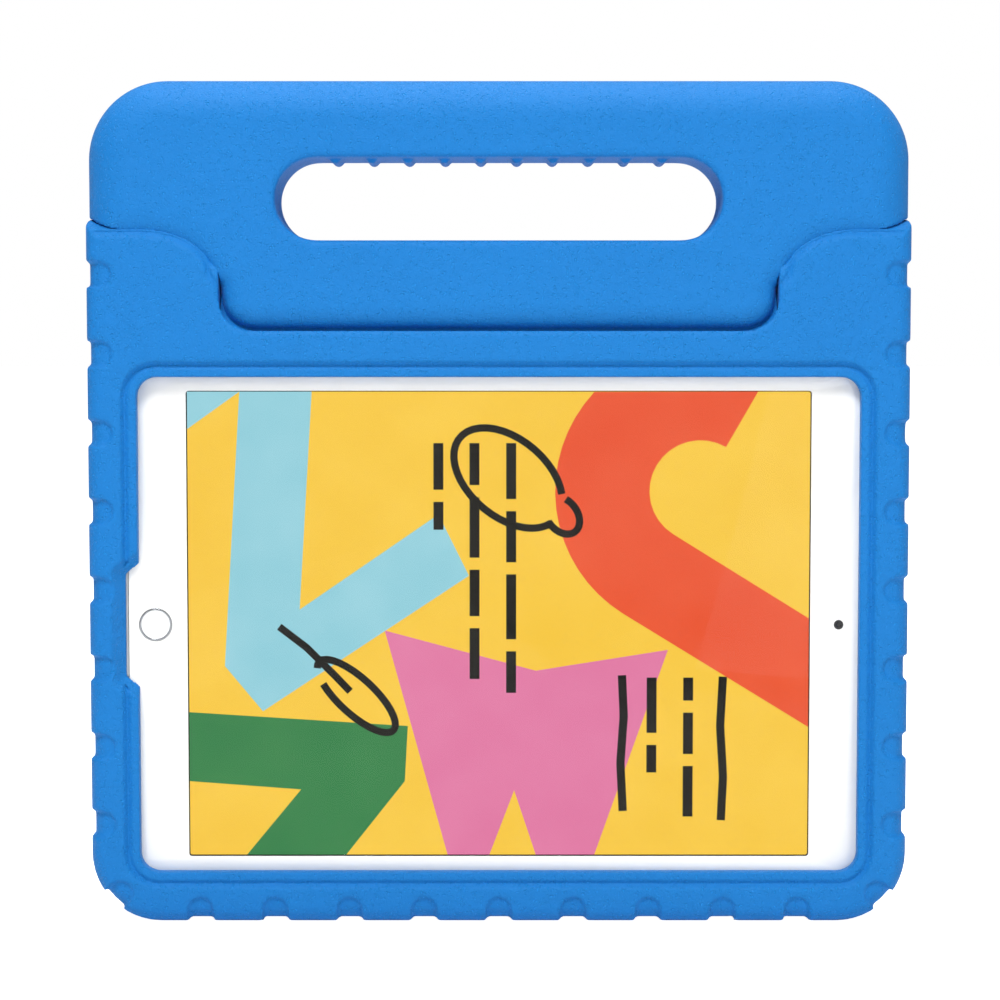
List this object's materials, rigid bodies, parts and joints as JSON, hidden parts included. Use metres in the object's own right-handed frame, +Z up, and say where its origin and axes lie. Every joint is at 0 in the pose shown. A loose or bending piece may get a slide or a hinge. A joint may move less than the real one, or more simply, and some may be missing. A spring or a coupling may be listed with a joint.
{
  "type": "tablet in a foam case with a folding handle",
  "caption": "Child's tablet in a moulded blue foam case with edge grooves, a stepped screen window and a hinged carry handle that folds back as a stand.",
  "frame": {"origin": "middle of the base, on the surface that the case stands on", "axes": "+X to the right across the screen, +Y from the screen to the back, +Z up"},
  "size_m": [0.2736, 0.028, 0.2814],
  "materials": {
    "foam": "satin",
    "pin_plastic": "satin",
    "housing": "satin",
    "glass_front": "gloss",
    "gasket": "matte",
    "display": "gloss",
    "steel": "satin",
    "button_white": "gloss",
    "ring_metal": "polished",
    "flex": "satin",
    "camera_black": "satin",
    "lens": "polished",
    "battery": "satin",
    "board": "satin",
    "dark_plastic": "matte",
    "port_metal": "satin",
    "antenna_plastic": "matte"
  },
  "bodies": {
    "case": {"foam_case": "foam", "rear_housing": "housing", "glass_gasket": "gasket", "display_panel": "display", "display_screws": "steel", "home_button_bracket": "steel", "home_button_cable": "flex", "front_camera": "camera_black", "rear_camera": "camera_black", "rear_camera_lens": "lens", "battery_cell_upper": "battery", "battery_cell_lower": "battery", "logic_board": "board", "shield_cans": "steel", "display_cable": "flex", "touch_cable": "flex", "speaker_upper": "dark_plastic", "speaker_lower": "dark_plastic", "power_switch": "dark_plastic", "volume_switches": "dark_plastic", "antennas": "antenna_plastic", "microphone": "port_metal", "cover_glass": "glass_front", "charge_port": "port_metal", "headphone_jack": "dark_plastic"},
    "handle": {"handle": "foam", "hinge_pin_left": "pin_plastic", "hinge_pin_right": "pin_plastic"},
    "home_key": {"home_button": "button_white", "home_button_ring": "ring_metal"},
    "power_key": {"power_button": "housing"},
    "volume_up_key": {"volume_up_button": "housing"},
    "volume_down_key": {"volume_down_button": "housing"}
  },
  "joints": [
    {"name": "handle_hinge", "type": "hinge", "parent": "case", "child": "handle", "pos_m": [0, 0, 0.2129], "axis": [-1, 0, 0], "range_deg": [0, 90]},
    {"name": "home_press", "type": "slide", "parent": "case", "child": "home_key", "axis": [0, 1, 0], "range_m": [0, 0.0003], "stiffness_N_per_m": 2000, "springref_m": -0.0004},
    {"name": "power_press", "type": "slide", "parent": "case", "child": "power_key", "axis": [-1, 0, 0], "range_m": [0, 0.0004], "stiffness_N_per_m": 2000, "springref_m": -0.0004},
    {"name": "volume_up_press", "type": "slide", "parent": "case", "child": "volume_up_key", "axis": [0, 0, 1], "range_m": [0, 0.0004], "stiffness_N_per_m": 2000, "springref_m": -0.0004},
    {"name": "volume_down_press", "type": "slide", "parent": "case", "child": "volume_down_key", "axis": [0, 0, 1], "range_m": [0, 0.0004], "stiffness_N_per_m": 2000, "springref_m": -0.0004}
  ]
}
